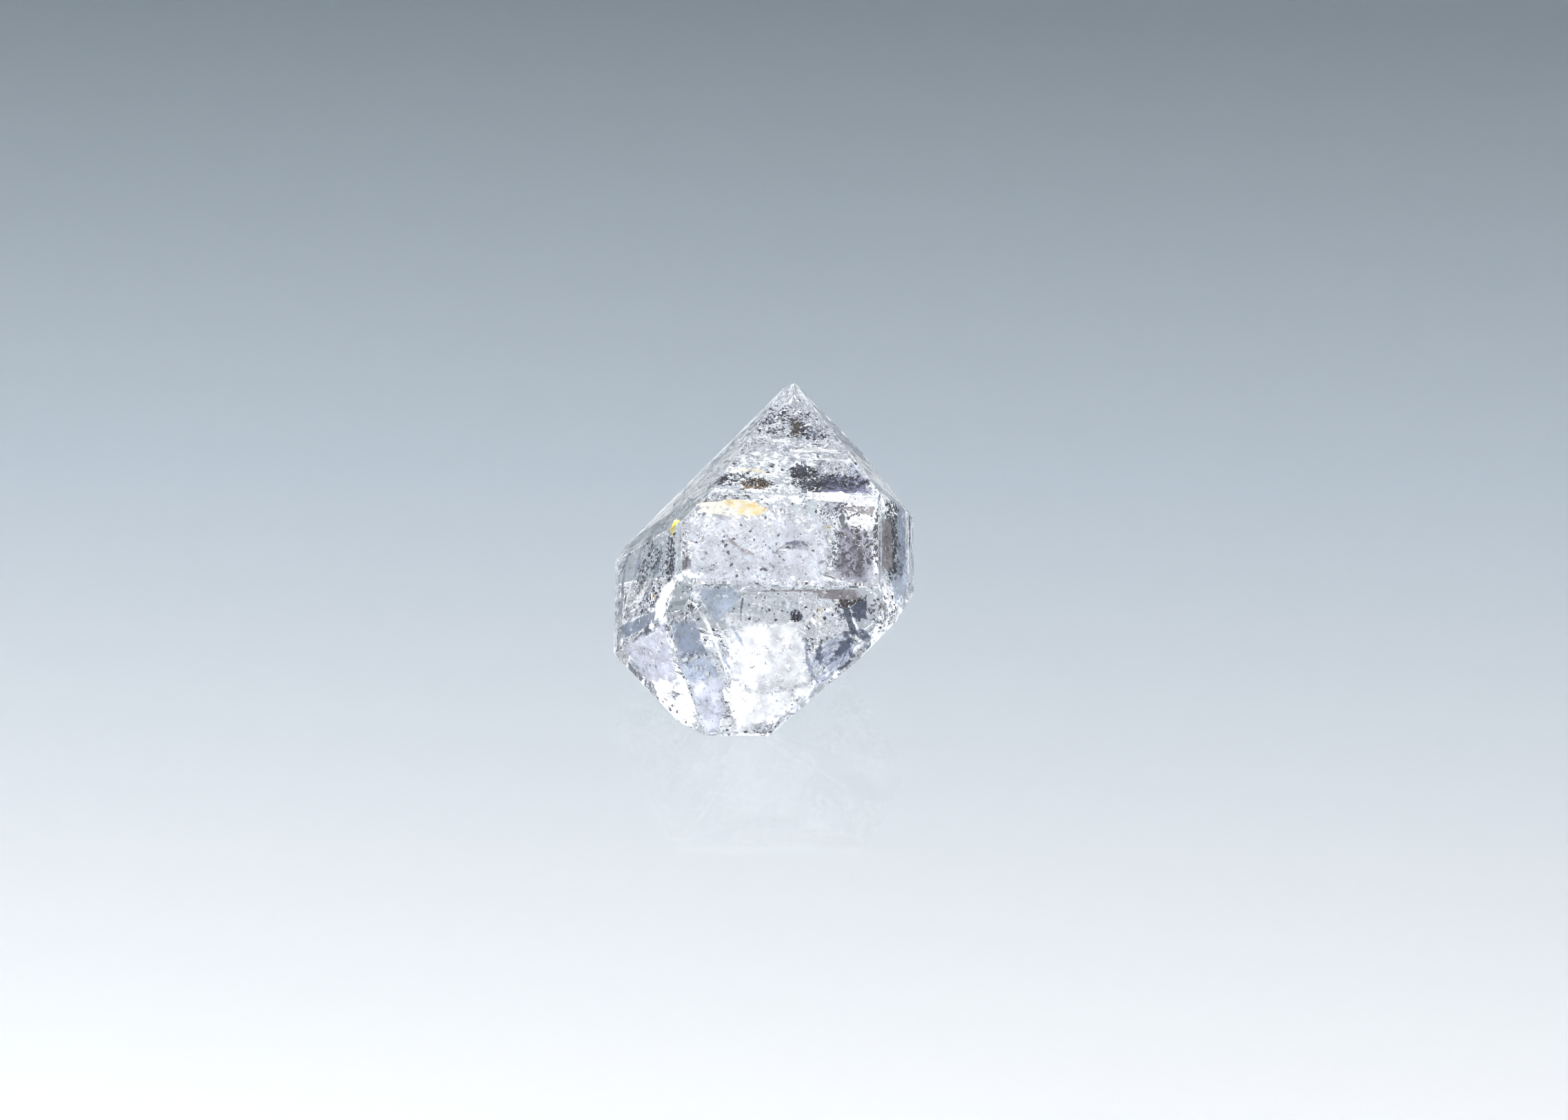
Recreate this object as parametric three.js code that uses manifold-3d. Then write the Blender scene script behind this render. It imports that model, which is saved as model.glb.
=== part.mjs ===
// Herkimer diamond: a clear, stubby quartz crystal with a point at both ends, lying on one of its
// lower termination faces, so that its long axis leans back from the viewer.
// Millimetres, +Z up. The origin is level with the resting face, under the middle of the whole.
//
// The form is real quartz: six prism faces round the long axis and six termination faces at each
// end, all at quartz's own angles. Each face only has its own distance from the centre, which is
// what makes one crystal differ from another. Small corner faces, growth terraces, striations and
// stepped hollows are then added to the flat faces or cut from them.

import * as THREE from "three";
import { ConvexGeometry } from "three/addons/geometries/ConvexGeometry.js";
import { mergeVertices } from "three/addons/utils/BufferGeometryUtils.js";
import Module from "manifold-3d";

// Angles of quartz, in degrees
const TERMINATION_POLAR = 51.79; // from the long axis to a termination face's normal
const CORNER_POLAR = 65.56; // the same for the small corner faces between two prism faces
const STEEP_POLAR = 80.0; // the same for the steep ledges that striations are made of
const SECTOR = 60; // from one prism face to the next

// Distance of each face from the crystal's centre, in mm, from the front face round to the right
const PRISM_MM = [6.0, 6.88, 3.77, 5.1, 5.24, 6.38];
const UPPER_MM = [5.08, 5.91, 5.93, 5.8, 4.46, 4.59];
const LOWER_MM = [6.93, 7.96, 4.75, 4.06, 7.17, 8.09];
const FRONT = 0;
const FRONT_RIGHT = 1;
const BACK_RIGHT = 2;
const BACK = 3;
const BACK_LEFT = 4;
const FRONT_LEFT = 5;
const RESTING = BACK; // the lower termination face that the crystal lies on

const radians = THREE.MathUtils.degToRad;

// A plane facing away from the centre: polar angle from the upward long axis, azimuth from the front
function plane(polar, azimuth, distance) {
  const p = radians(polar);
  const a = radians(azimuth);
  const normal = new THREE.Vector3(Math.sin(p) * Math.sin(a), -Math.sin(p) * Math.cos(a), Math.cos(p));
  return { normal, distance };
}
const prism = (sector, more = 0) => plane(90, sector * SECTOR, PRISM_MM[sector] + more);
const upper = (sector, more = 0) => plane(TERMINATION_POLAR, sector * SECTOR, UPPER_MM[sector] + more);
const lower = (sector, more = 0) => plane(180 - TERMINATION_POLAR, sector * SECTOR, LOWER_MM[sector] + more);
const SECTORS = [FRONT, FRONT_RIGHT, BACK_RIGHT, BACK, BACK_LEFT, FRONT_LEFT];
const mainFaces = (more = 0) =>
  [prism, upper, lower].flatMap((form) => SECTORS.map((sector) => form(sector, more)));

// The point where three planes meet, or null where two of them are parallel
function meeting(a, b, c) {
  const bc = new THREE.Vector3().crossVectors(b.normal, c.normal);
  const volume = a.normal.dot(bc);
  if (Math.abs(volume) < 1e-6) return null;
  const ca = new THREE.Vector3().crossVectors(c.normal, a.normal);
  const ab = new THREE.Vector3().crossVectors(a.normal, b.normal);
  return bc
    .multiplyScalar(a.distance)
    .add(ca.multiplyScalar(b.distance))
    .add(ab.multiplyScalar(c.distance))
    .divideScalar(volume);
}
const inside = (point, planes, slack) => planes.every((p) => p.normal.dot(point) <= p.distance + slack);

// The corners of the convex body that lies behind all the planes
function corners(planes) {
  const found = [];
  planes.forEach((a, i) =>
    planes.slice(i + 1).forEach((b, j) =>
      planes.slice(i + j + 2).forEach((c) => {
        const point = meeting(a, b, c);
        if (!point || !inside(point, planes, 1e-6)) return;
        if (!found.some((other) => other.distanceTo(point) < 1e-4)) found.push(point);
      }),
    ),
  );
  return found;
}

const wasm = await Module();
wasm.setup();

// A closed mesh as a solid that can be joined and cut
function solidOf(geometry) {
  const bare = geometry.clone().deleteAttribute("normal").deleteAttribute("uv");
  const merged = mergeVertices(bare, 1e-5);
  const vertProperties = new Float32Array(merged.attributes.position.array);
  const triVerts = new Uint32Array(merged.index.array);
  return new wasm.Manifold(new wasm.Mesh({ numProp: 3, vertProperties, triVerts }));
}
const convexSolid = (points) => solidOf(new ConvexGeometry(points));

// Corner faces: small bevels where two prism faces and a termination meet, cut by this much
const CORNER_CUTS = [
  { azimuth: -30, below: true, cut: 0.24 }, // the bright bevel at the front face's lower left
  { azimuth: 90, below: true, cut: 0.09 },
  { azimuth: 210, below: false, cut: 0.12 },
  { azimuth: 90, below: false, cut: 0.07 },
];
// Two narrower cuts beside the front bevel round it off
const ROUNDING_CUTS = [
  { polar: 180 - 74, azimuth: -42, cut: 0.1 },
  { polar: 180 - 76, azimuth: -12, cut: 0.085 },
];

function beveled(planes) {
  const points = corners(planes);
  const reach = (normal) => Math.max(...points.map((point) => normal.dot(point)));
  const cutOff = (polar, azimuth, cut) => {
    const face = plane(polar, azimuth, 0);
    face.distance = reach(face.normal) - cut;
    return face;
  };
  return [
    ...CORNER_CUTS.map(({ azimuth, below, cut }) =>
      cutOff(below ? 180 - CORNER_POLAR : CORNER_POLAR, azimuth, cut),
    ),
    ...ROUNDING_CUTS.map(({ polar, azimuth, cut }) => cutOff(polar, azimuth, cut)),
  ];
}

const core = mainFaces();
const coreFaces = [...core, ...beveled(core)];
const body = convexSolid(corners(coreFaces));

// A frame on a face: u runs level along it, v runs up it, w out of it. The middle is that of its corners
function faceFrame(face) {
  const w = face.normal;
  const u = new THREE.Vector3(-w.y, w.x, 0).normalize();
  const v = new THREE.Vector3().crossVectors(w, u);
  const own = corners(core).filter((p) => Math.abs(w.dot(p) - face.distance) < 1e-3);
  const middle = own.reduce((sum, p) => sum.add(p), new THREE.Vector3()).divideScalar(own.length);
  const span = (axis) => Math.max(...own.map((p) => Math.abs(axis.dot(p) - axis.dot(middle))));
  const at = (x, y, z) => middle.clone().addScaledVector(u, x).addScaledVector(v, y).addScaledVector(w, z);
  return { at, halfWidth: span(u), halfHeight: span(v), face };
}

// Outlines, about one unit across, of what grows on the faces of quartz
const SHIELD = [
  [0, 0.6],
  [0.42, -0.05],
  [0.26, -0.42],
  [-0.26, -0.42],
  [-0.42, -0.05],
];
const BAR = [
  [-0.5, 0],
  [-0.42, 0.5],
  [0.44, 0.5],
  [0.5, -0.1],
  [0.4, -0.5],
  [-0.46, -0.5],
];

const ROOT = 0.04; // how far a terrace starts below the face, so that it is joined to it

// A low block on a face: its outline at the foot, and a smaller one at the top
function terrace(frame, outline, spot, rise, shrink) {
  const { x, y, width, height, turn = 0 } = spot;
  const place = ([a, b], scale, z) => {
    const c = Math.cos(turn);
    const s = Math.sin(turn);
    const p = a * width * scale;
    const q = b * height * scale;
    return frame.at(x + p * c - q * s, y + p * s + q * c, z);
  };
  const foot = outline.map((point) => place(point, 1, -ROOT));
  const top = outline.map((point) => place(point, shrink, rise));
  return { points: [...foot, ...top], foot };
}

// The same sunk into the face, wide at the mouth and narrow at the floor
function hollow(frame, outline, spot, depth, shrink) {
  const { x, y, width, height } = spot;
  const place = ([a, b], scale, z) => frame.at(x + a * width * scale, y + b * height * scale, z);
  const mouth = outline.map((point) => place(point, 1 + (1 - shrink) * (ROOT / depth), ROOT));
  const floor = outline.map((point) => place(point, shrink, -depth));
  return { points: [...mouth, ...floor], foot: mouth };
}

// True where a shape's foot keeps clear of every other face of the crystal
const EDGE_MARGIN = 0.12;
function clearOfEdges(shape, face) {
  const others = coreFaces.filter((p) => p.normal.distanceTo(face.normal) > 1e-6);
  return shape.foot.every((point) => inside(point, others, -EDGE_MARGIN));
}

// Repeatable scatter: a fraction from 0 to 1 for each step of a simple number sequence
function scatter(seed) {
  let state = seed;
  return () => {
    state = (state * 16807) % 2147483647;
    return state / 2147483647;
  };
}

// Growth hillocks: stacks of terraces, each smaller than the one below
const STEP_MM = 0.022;
function hillocks(face, outline, { count, size, tall, wide, seed }) {
  const frame = faceFrame(face);
  const next = scatter(seed);
  const made = [];
  for (let tries = 0; made.length < count && tries < count * 12; tries += 1) {
    const spot = {
      x: (2 * next() - 1) * frame.halfWidth,
      y: (2 * next() - 1) * frame.halfHeight,
    };
    const scale = size * (0.5 + next());
    spot.width = scale * wide;
    spot.height = scale * tall;
    const layers = 1 + Math.floor(next() * 3);
    const lift = STEP_MM * (0.6 + 0.8 * next());
    const base = terrace(frame, outline, spot, lift, 0.94);
    if (!clearOfEdges(base, face)) continue;
    const stack = [base];
    for (let layer = 1; layer < layers; layer += 1) {
      const share = 1 - (0.3 * layer) / layers - 0.12 * layer;
      const small = { ...spot, width: spot.width * share, height: spot.height * share };
      small.y = spot.y + (0.06 * layer * spot.height);
      stack.push(terrace(frame, outline, small, lift * (layer + 1), 0.92));
    }
    made.push(stack.map((shape) => convexSolid(shape.points)));
  }
  return made.flat();
}

// Which faces carry them: few on the clean front, many on the back, none where the crystal lies
const GROWTH = [
  { face: upper(BACK_RIGHT), outline: SHIELD, count: 8, size: 1.2, tall: 1, wide: 1, seed: 11 },
  { face: upper(BACK), outline: SHIELD, count: 4, size: 0.5, tall: 1, wide: 1, seed: 23 },
  { face: upper(BACK_LEFT), outline: SHIELD, count: 10, size: 1.4, tall: 1, wide: 1, seed: 37 },
  { face: upper(FRONT_LEFT), outline: SHIELD, count: 3, size: 0.8, tall: 1, wide: 1, seed: 41 },
  { face: lower(BACK_RIGHT), outline: SHIELD, count: 4, size: 0.9, tall: -1, wide: 1, seed: 53 },
  { face: lower(BACK_LEFT), outline: SHIELD, count: 3, size: 0.5, tall: -1, wide: 1, seed: 61 },
  { face: lower(FRONT_LEFT), outline: SHIELD, count: 2, size: 0.6, tall: -1, wide: 1, seed: 67 },
  { face: prism(FRONT_RIGHT), outline: BAR, count: 5, size: 1.0, tall: 0.16, wide: 1.1, seed: 71 },
  { face: prism(BACK_RIGHT), outline: BAR, count: 9, size: 1.7, tall: 0.13, wide: 1.4, seed: 79 },
  { face: prism(BACK), outline: BAR, count: 4, size: 0.8, tall: 0.16, wide: 1.1, seed: 83 },
  { face: prism(BACK_LEFT), outline: BAR, count: 9, size: 1.7, tall: 0.13, wide: 1.4, seed: 97 },
  { face: prism(FRONT_LEFT), outline: BAR, count: 6, size: 1.3, tall: 0.14, wide: 1.2, seed: 101 },
];
const grown = GROWTH.flatMap(({ face, outline, ...how }) => hillocks(face, outline, how));

// Striations: long level ledges on the front face, and just under its lower edge
const FRONT_LEDGES = [
  { x: 2.9, y: 1.62, width: 2.2, height: 0.16 },
  { x: 2.6, y: 1.2, width: 2.8, height: 0.24 },
  { x: 3.2, y: 0.78, width: 1.6, height: 0.13 },
];
const LOWER_LEDGES = [
  { x: 0.2, y: 2.42, width: 6.6, height: 0.12 },
  { x: 0.5, y: 2.12, width: 5.2, height: 0.13 },
  { x: -0.4, y: 1.82, width: 4.0, height: 0.12 },
];
const LEDGE_RISE = 0.03;
const ledges = (face, spots) =>
  spots.map((spot) => convexSolid(terrace(faceFrame(face), BAR, spot, LEDGE_RISE, 0.97).points));

// Parallel growth: a flat plate that stands out from the back right prism face, with its own ends
const PLATE_RISE = 0.36;
const PLATE_IN = 0.42;
const plate = convexSolid(
  corners([
    ...core.filter((p) => p.normal.distanceTo(prism(BACK_RIGHT).normal) > 1e-6),
    prism(BACK_RIGHT, PLATE_RISE),
    prism(FRONT_RIGHT, -PLATE_IN),
    upper(BACK_RIGHT, -0.35),
    upper(FRONT_RIGHT, -0.3),
    lower(BACK_RIGHT, -0.3),
    prism(BACK, -0.5),
  ]),
);

// Stepped hollows, nested one in the other, where the lower back right face stopped growing
const HOLLOWS = [
  { x: 0.3, y: -0.1, width: 3.4, height: -2.4, depth: 0.07 },
  { x: 0.35, y: -0.15, width: 2.5, height: -1.7, depth: 0.15 },
  { x: 0.4, y: -0.2, width: 1.6, height: -1.0, depth: 0.24 },
];
const REST_HOLLOWS = [
  { x: -1.7, y: 1.0, width: 2.2, height: -1.5, depth: 0.05 },
  { x: -1.75, y: 1.05, width: 1.3, height: -0.85, depth: 0.11 },
];
const sunk = (face, spots) =>
  spots.map((spot) => convexSolid(hollow(faceFrame(face), SHIELD, spot, spot.depth, 0.9).points));

const { Manifold } = wasm;
const whole = Manifold.union([
  body,
  plate,
  ...grown,
  ...ledges(prism(FRONT), FRONT_LEDGES),
  ...ledges(lower(FRONT), LOWER_LEDGES),
]).subtract(Manifold.union([...sunk(lower(BACK_RIGHT), HOLLOWS), ...sunk(lower(RESTING), REST_HOLLOWS)]));

// The solid's vertices and triangles as a three.js geometry
function geometryOf(solid) {
  const mesh = solid.getMesh();
  const position = new Float32Array(mesh.numVert * 3);
  for (let i = 0; i < mesh.numVert; i += 1) {
    position.set(mesh.vertProperties.subarray(i * mesh.numProp, i * mesh.numProp + 3), i * 3);
  }
  return new THREE.BufferGeometry()
    .setAttribute("position", new THREE.BufferAttribute(position, 3))
    .setIndex(new THREE.BufferAttribute(new Uint32Array(mesh.triVerts), 1));
}

const clearQuartz = new THREE.MeshStandardMaterial({
  color: 0xe4e9f1,
  roughness: 0.02,
  metalness: 0,
  transparent: true,
  opacity: 0.35,
});
const crystal = new THREE.Mesh(geometryOf(whole), clearQuartz);
crystal.name = "quartz_crystal";

// The long axis leans back until the resting face looks straight down, at the height of the surface
const herkimer = new THREE.Group();
herkimer.rotation.x = -radians(TERMINATION_POLAR);
herkimer.add(crystal);
const middle = new THREE.Box3().setFromObject(herkimer, true).getCenter(new THREE.Vector3());
herkimer.position.set(-middle.x, -middle.y, LOWER_MM[RESTING]);

export default herkimer;
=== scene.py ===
import math
from itertools import combinations

import bmesh
import bpy
import numpy as np
from mathutils import Matrix, Vector


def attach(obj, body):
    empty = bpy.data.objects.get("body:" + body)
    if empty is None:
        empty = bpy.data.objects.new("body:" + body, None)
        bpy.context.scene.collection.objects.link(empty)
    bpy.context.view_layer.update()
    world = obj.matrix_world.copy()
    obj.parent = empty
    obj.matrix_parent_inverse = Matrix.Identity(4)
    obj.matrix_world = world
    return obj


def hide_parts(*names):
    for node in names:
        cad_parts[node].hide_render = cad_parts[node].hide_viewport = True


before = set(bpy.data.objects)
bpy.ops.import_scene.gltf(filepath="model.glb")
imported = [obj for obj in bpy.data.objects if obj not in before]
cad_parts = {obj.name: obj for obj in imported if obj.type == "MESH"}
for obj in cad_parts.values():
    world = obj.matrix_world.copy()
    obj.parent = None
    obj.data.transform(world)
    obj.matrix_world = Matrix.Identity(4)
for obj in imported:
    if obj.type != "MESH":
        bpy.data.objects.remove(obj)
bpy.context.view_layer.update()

scene = bpy.context.scene

# The camera: a long lens on the front of the crystal, looking down at it from about 30 degrees above
# the surface. The crystal lies very slightly turned to the picture, hence the small roll.
camera_azimuth, camera_elevation, camera_roll = map(math.radians, (-2.14, 30.39, 1.94))
camera_aim = Vector((0.94, 0.62, 4.03)) / 1000
camera_distance = 0.29
toward_camera = Vector(
    (
        math.sin(camera_azimuth) * math.cos(camera_elevation),
        -math.cos(camera_azimuth) * math.cos(camera_elevation),
        math.sin(camera_elevation),
    )
)
camera = bpy.data.objects.new("camera", bpy.data.cameras.new("camera"))
camera.data.sensor_width = 36
camera.data.lens = 153
camera.data.clip_start, camera.data.clip_end = 0.01, 10
camera.matrix_world = Matrix.LocRotScale(
    camera_aim + camera_distance * toward_camera,
    toward_camera.to_track_quat("Z", "Y") @ Matrix.Rotation(camera_roll, 3, "Z").to_quaternion(),
    None,
)
scene.collection.objects.link(camera)
scene.camera = camera
scene.view_settings.view_transform = "Standard"

# The clear sheet that the crystal lies on, and the pale paper well below it. The sheet throws back a
# faint image of the crystal from its top face, and a second one from its under face. The paper's light
# and shade are painted into its colour: painted light along one line across the picture, and painted
# shade, darker, behind and in front of it.
sheet_half, sheet_depths = 1.5, {"sheet_top": 0.00002, "sheet_under": 0.00078}
paper_half, paper_depth = 6.0, 0.07
bright_line, darkest_behind, darkest_in_front = 0.063, 0.148, 1.3


class Link:
    """One output socket. Sums, differences, products and quotients of links and numbers add Math nodes
    to its tree."""

    def __init__(self, tree, socket=None):
        self.tree, self.socket = tree, socket

    def node(self, kind, settings={}, inputs={}, out=0):
        """Adds a node: its type, its settings, set first, and the values or links of its sockets. A
        ramp's stops are its first and last, and then any between them."""
        made = self.tree.nodes.new(kind)
        for name, value in settings.items():
            if name == "stops":
                ramp = made.color_ramp
                for place, colour in value[2:]:
                    ramp.elements.new(place).color = colour
                for stop, (place, colour) in zip((ramp.elements[0], ramp.elements[-1]), value[:2]):
                    stop.position, stop.color = place, colour
            else:
                setattr(made, name, value)
        for name, value in inputs.items():
            if isinstance(value, Link):
                self.tree.links.new(value.socket, made.inputs[name])
            else:
                made.inputs[name].default_value = value
        return Link(self.tree, made.outputs[out] if made.outputs else None)

    def maths(self, operation, *values):
        """Adds a Math node on these values or links."""
        return self.node("ShaderNodeMath", {"operation": operation}, dict(enumerate(values)))

    def __add__(self, other):
        return self.maths("ADD", self, other)

    def __sub__(self, other):
        return self.maths("SUBTRACT", self, other)

    def __rsub__(self, other):
        return self.maths("SUBTRACT", other, self)

    def __mul__(self, other):
        return self.maths("MULTIPLY", self, other)

    def __truediv__(self, other):
        return self.maths("DIVIDE", self, other)

    def __rtruediv__(self, other):
        return self.maths("DIVIDE", other, self)

    __radd__, __rmul__ = __add__, __mul__


def empty_tree(owner):
    """The node tree of a material or world, cleared, as a start for its nodes."""
    owner.use_nodes = True
    owner.node_tree.nodes.clear()
    return Link(owner.node_tree)


def level_square(name, half, z):
    """A flat level square: x and y run over a 2 by 2 grid from -half to half, at one height z."""
    x, y = np.meshgrid((-half, half), (-half, half))
    mesh = bpy.data.meshes.new(name)
    mesh.from_pydata(np.stack([x, y, np.full_like(x, z)], -1).reshape(-1, 3).tolist(), [], [(0, 1, 3, 2)])
    piece = bpy.data.objects.new(name, mesh)
    scene.collection.objects.link(piece)
    return piece


clear_sheet = bpy.data.materials.new("clear sheet")
start = empty_tree(clear_sheet)
start.node(
    "ShaderNodeOutputMaterial",
    inputs={
        "Surface": start.node(
            "ShaderNodeMixShader",
            inputs={
                0: start.node("ShaderNodeFresnel", inputs={"IOR": 1.5}),
                1: start.node("ShaderNodeBsdfTransparent"),
                2: start.node("ShaderNodeBsdfGlossy", inputs={"Roughness": 0.04}),
            },
        )
    },
)
for name, depth in sheet_depths.items():
    level_square(name, sheet_half, -depth).data.materials.append(clear_sheet)

paper_painted_shade = bpy.data.materials.new("paper, painted light and shade")
start = empty_tree(paper_painted_shade)
place = start.node("ShaderNodeTexCoord", out=3)
back = start.node("ShaderNodeSeparateXYZ", inputs={0: place}, out=1)
behind, in_front = (back - bright_line) / darkest_behind, (bright_line - back) / darkest_in_front
# the ramp paints the light's fall-off into the paper's colour: white at the bright line is painted light, and
# the darker stops behind and in front are painted shade
fade = start.node(
    "ShaderNodeValToRGB",
    {
        "stops": [
            (0.0, (1.0, 1.0, 1.0, 1)),
            (1.0, (0.265, 0.315, 0.345, 1)),
            (0.5, (0.59, 0.66, 0.72, 1)),
        ]
    },
    {0: start.maths("MAXIMUM", behind, in_front)},
)
paper_face = start.node("ShaderNodeBsdfPrincipled", inputs={"Base Color": fade, "Roughness": 0.9})
start.node("ShaderNodeOutputMaterial", inputs={"Surface": paper_face})
level_square("paper", paper_half, -paper_depth).data.materials.append(paper_painted_shade)

# The light: a white tent round the crystal, with bright and dark panels that the crystal mirrors in
# its faces. One soft lamp, outside the picture in front on the left, lights the paper and the flecks.
world = bpy.data.worlds.new("tent")
scene.world = world
start = empty_tree(world)
# each panel: its middle's azimuth and elevation in degrees, its half width and half height at one
# unit's distance, and the light that it sends in
tent = [
    ((180, 28), (0.4, 0.25), (0.45, 0.5, 0.55)),
    ((-90, 12), (0.5, 0.3), (0.1, 0.12, 0.16)),
    ((90, 42), (0.3, 0.25), (0.06, 0.07, 0.1)),
    ((180, 60), (0.4, 0.2), (1.9, 1.92, 1.98)),
    ((45, 28), (0.5, 0.25), (1.6, 1.6, 1.65)),
    ((45, 8), (0.25, 0.5), (0.2, 0.23, 0.3)),
    ((145, 60), (0.3, 0.4), (1.9, 1.92, 1.96)),
    ((165, 50), (0.12, 0.12), (0.1, 0.12, 0.16)),
    ((0, 86), (0.6, 0.45), (1.7, 1.72, 1.76)),
    ((0, 62), (0.12, 0.25), (2.2, 2.2, 2.25)),
    ((0, 28), (0.3, 0.14), (0.1, 0.12, 0.16)),
    ((15, 28), (0.25, 0.12), (0.03, 0.04, 0.06)),
    ((30, 18), (0.25, 0.12), (0.06, 0.07, 0.1)),
    ((-60, 50), (0.2, 0.2), (0.0, 0.0, 0.0)),
    ((-120, 28), (0.12, 0.25), (3.2, 3.1, 2.9)),
]
# the tent's own light, which shows between the panels
light = (1.02, 1.09, 1.19, 1)
direction = start.node("ShaderNodeTexCoord", out=0)
rim_sharpness, least_ahead = 40, 0.02
for (azimuth, elevation), (half_width, half_height), colour in tent:
    a, e = math.radians(azimuth), math.radians(elevation)
    middle = (math.sin(a) * math.cos(e), -math.cos(a) * math.cos(e), math.sin(e))
    side = (math.cos(a), math.sin(a), 0)
    above = (-math.sin(a) * math.sin(e), math.cos(a) * math.sin(e), math.cos(e))
    ahead, x, y = (
        start.node("ShaderNodeVectorMath", {"operation": "DOT_PRODUCT"}, {0: direction, 1: axis}, out=1)
        for axis in (middle, side, above)
    )
    beside = half_width - start.maths("ABSOLUTE", x / ahead)
    over = half_height - start.maths("ABSOLUTE", y / ahead)
    within = start.node("ShaderNodeClamp", inputs={0: start.maths("MINIMUM", beside, over) * rim_sharpness})
    mask = within * start.maths("GREATER_THAN", ahead, least_ahead)
    light = start.node("ShaderNodeMix", {"data_type": "RGBA"}, {0: mask, 6: light, 7: (*colour, 1)}, out=2)
start.node("ShaderNodeOutputWorld", inputs={0: start.node("ShaderNodeBackground", inputs={"Color": light})})

key = bpy.data.lights.new("front_lamp", "AREA")
key.shape, key.size, key.energy = "DISK", 0.4, 11.4
front_lamp = bpy.data.objects.new("front_lamp", key)
lamp_place = Vector((-0.35, -0.55, 0.65))
front_lamp.matrix_world = Matrix.LocRotScale(lamp_place, lamp_place.to_track_quat("Z", "Y"), None)
front_lamp.visible_camera = front_lamp.visible_glossy = front_lamp.visible_transmission = False
scene.collection.objects.link(front_lamp)

# light crosses many faces and bubbles before it leaves the crystal
scene.cycles.max_bounces = 14
scene.cycles.transmission_bounces = 14
scene.cycles.glossy_bounces = 8
scene.cycles.transparent_max_bounces = 12
world.cycles.sampling_method = "NONE"

# The crystal: quartz, grown with a point at both ends. Its six prism faces and twelve end faces keep
# quartz's own angles, and only their distances from the centre are this crystal's, in millimetres. It
# lies on the lower end face at the back, which the seat brings level with the sheet.
end_face_polar = math.radians(51.79)
prism_mm = (6.0, 6.88, 3.77, 5.1, 5.24, 6.38)
upper_mm = (5.08, 5.91, 5.93, 5.8, 4.46, 4.59)
lower_mm = (6.93, 7.96, 4.75, 4.06, 7.17, 8.09)
seat_mm = (0.28001, 0.66338, 4.06)
on_plane_mm, edge_cut_mm, cell_mm = 2e-5, 0.012, 0.112


def face_normals(polar, azimuth):
    """Unit normals at a polar angle from the upward long axis, turned from the front to the right:
    (sin polar sin azimuth, -sin polar cos azimuth, cos polar)."""
    polar, azimuth = np.broadcast_arrays(polar, azimuth)
    return np.stack([np.sin(polar) * np.sin(azimuth), -np.sin(polar) * np.cos(azimuth), np.cos(polar)], -1)


def meeting_points(normals, distances):
    """The corners of the body behind all the faces. Any three faces meet where n.p = d for each of
    them; the meeting is a corner if no other face cuts it off, n.p <= d for all."""
    triple = np.array(list(combinations(range(len(distances)), 3)))
    triple = triple[abs(np.linalg.det(normals[triple])) > 1e-5]
    points = np.linalg.solve(normals[triple], distances[triple][..., None])[..., 0]
    points = points[(points @ normals.T <= distances + 1e-7).all(1)]
    apart = np.linalg.norm(points[:, None] - points[None], axis=-1)
    return points[(apart < 1e-4).argmax(1) == np.arange(len(points))]


def outline(points, normal, distance):
    """The numbers of a face's corners, in order round its normal as seen from outside."""
    own = np.flatnonzero(abs(points @ normal - distance) < on_plane_mm)
    if len(own) < 3:
        return own[:0]
    spokes = points[own] - points[own].mean(0)
    turn = np.arctan2(np.cross(normal, spokes[0]) @ spokes.T, spokes @ spokes[0])
    return own[np.argsort(turn)]


sectors = np.radians(60 * np.arange(6))
normals = np.concatenate(
    [
        face_normals(math.pi / 2, sectors),
        face_normals(end_face_polar, sectors),
        face_normals(math.pi - end_face_polar, sectors),
    ]
)
distances = np.array(prism_mm + upper_mm + lower_mm)


def cut_back(normals, distances, new_normals, depths):
    """Adds faces that cut the body's corners: each stands off by its reach less the depth."""
    reach = (meeting_points(normals, distances) @ new_normals.T).max(0)
    return np.concatenate([normals, new_normals]), np.concatenate([distances, reach - depths])


# each corner cut: its face's polar angle and azimuth in degrees, and its depth in mm. Most have the
# angle of quartz's own small corner faces.
corner_polar = 65.56
corner_cuts = np.array(
    [
        (180 - corner_polar, -30, 0.24),
        (180 - corner_polar, 90, 0.09),
        (corner_polar, 210, 0.12),
        (corner_polar, 90, 0.07),
        (180 - 74, -42, 0.1),
        (180 - 76, -12, 0.085),
    ]
)
normals, distances = cut_back(
    normals,
    distances,
    face_normals(np.radians(corner_cuts[:, 0]), np.radians(corner_cuts[:, 1])),
    corner_cuts[:, 2],
)


def chamfered(normals, distances, depth):
    """Adds a narrow face along every edge: it looks midway between the edge's two faces and cuts the
    edge off by the depth."""
    points = meeting_points(normals, distances)
    on_face = abs(points @ normals.T - distances) < on_plane_mm
    shared = on_face.T.astype(int) @ on_face.astype(int)
    first, second = np.nonzero(np.triu(shared >= 2, 1))
    between = normals[first] + normals[second]
    between /= np.linalg.norm(between, axis=1, keepdims=True)
    on_edge = on_face[:, first] & on_face[:, second]
    reach = np.where(on_edge, points @ between.T, -np.inf).max(0)
    return np.concatenate([normals, between]), np.concatenate([distances, reach - depth])


def to_part(points_mm):
    """From the crystal's own axes, in mm, to the part: lean back about x by the end face's angle, move
    to the seat, and turn to metres."""
    c, s = math.cos(end_face_polar), math.sin(end_face_polar)
    x, y, z = np.moveaxis(np.asarray(points_mm), -1, 0)
    return (np.stack([x, y * c + z * s, z * c - y * s], -1) + seat_mm) / 1000


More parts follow.
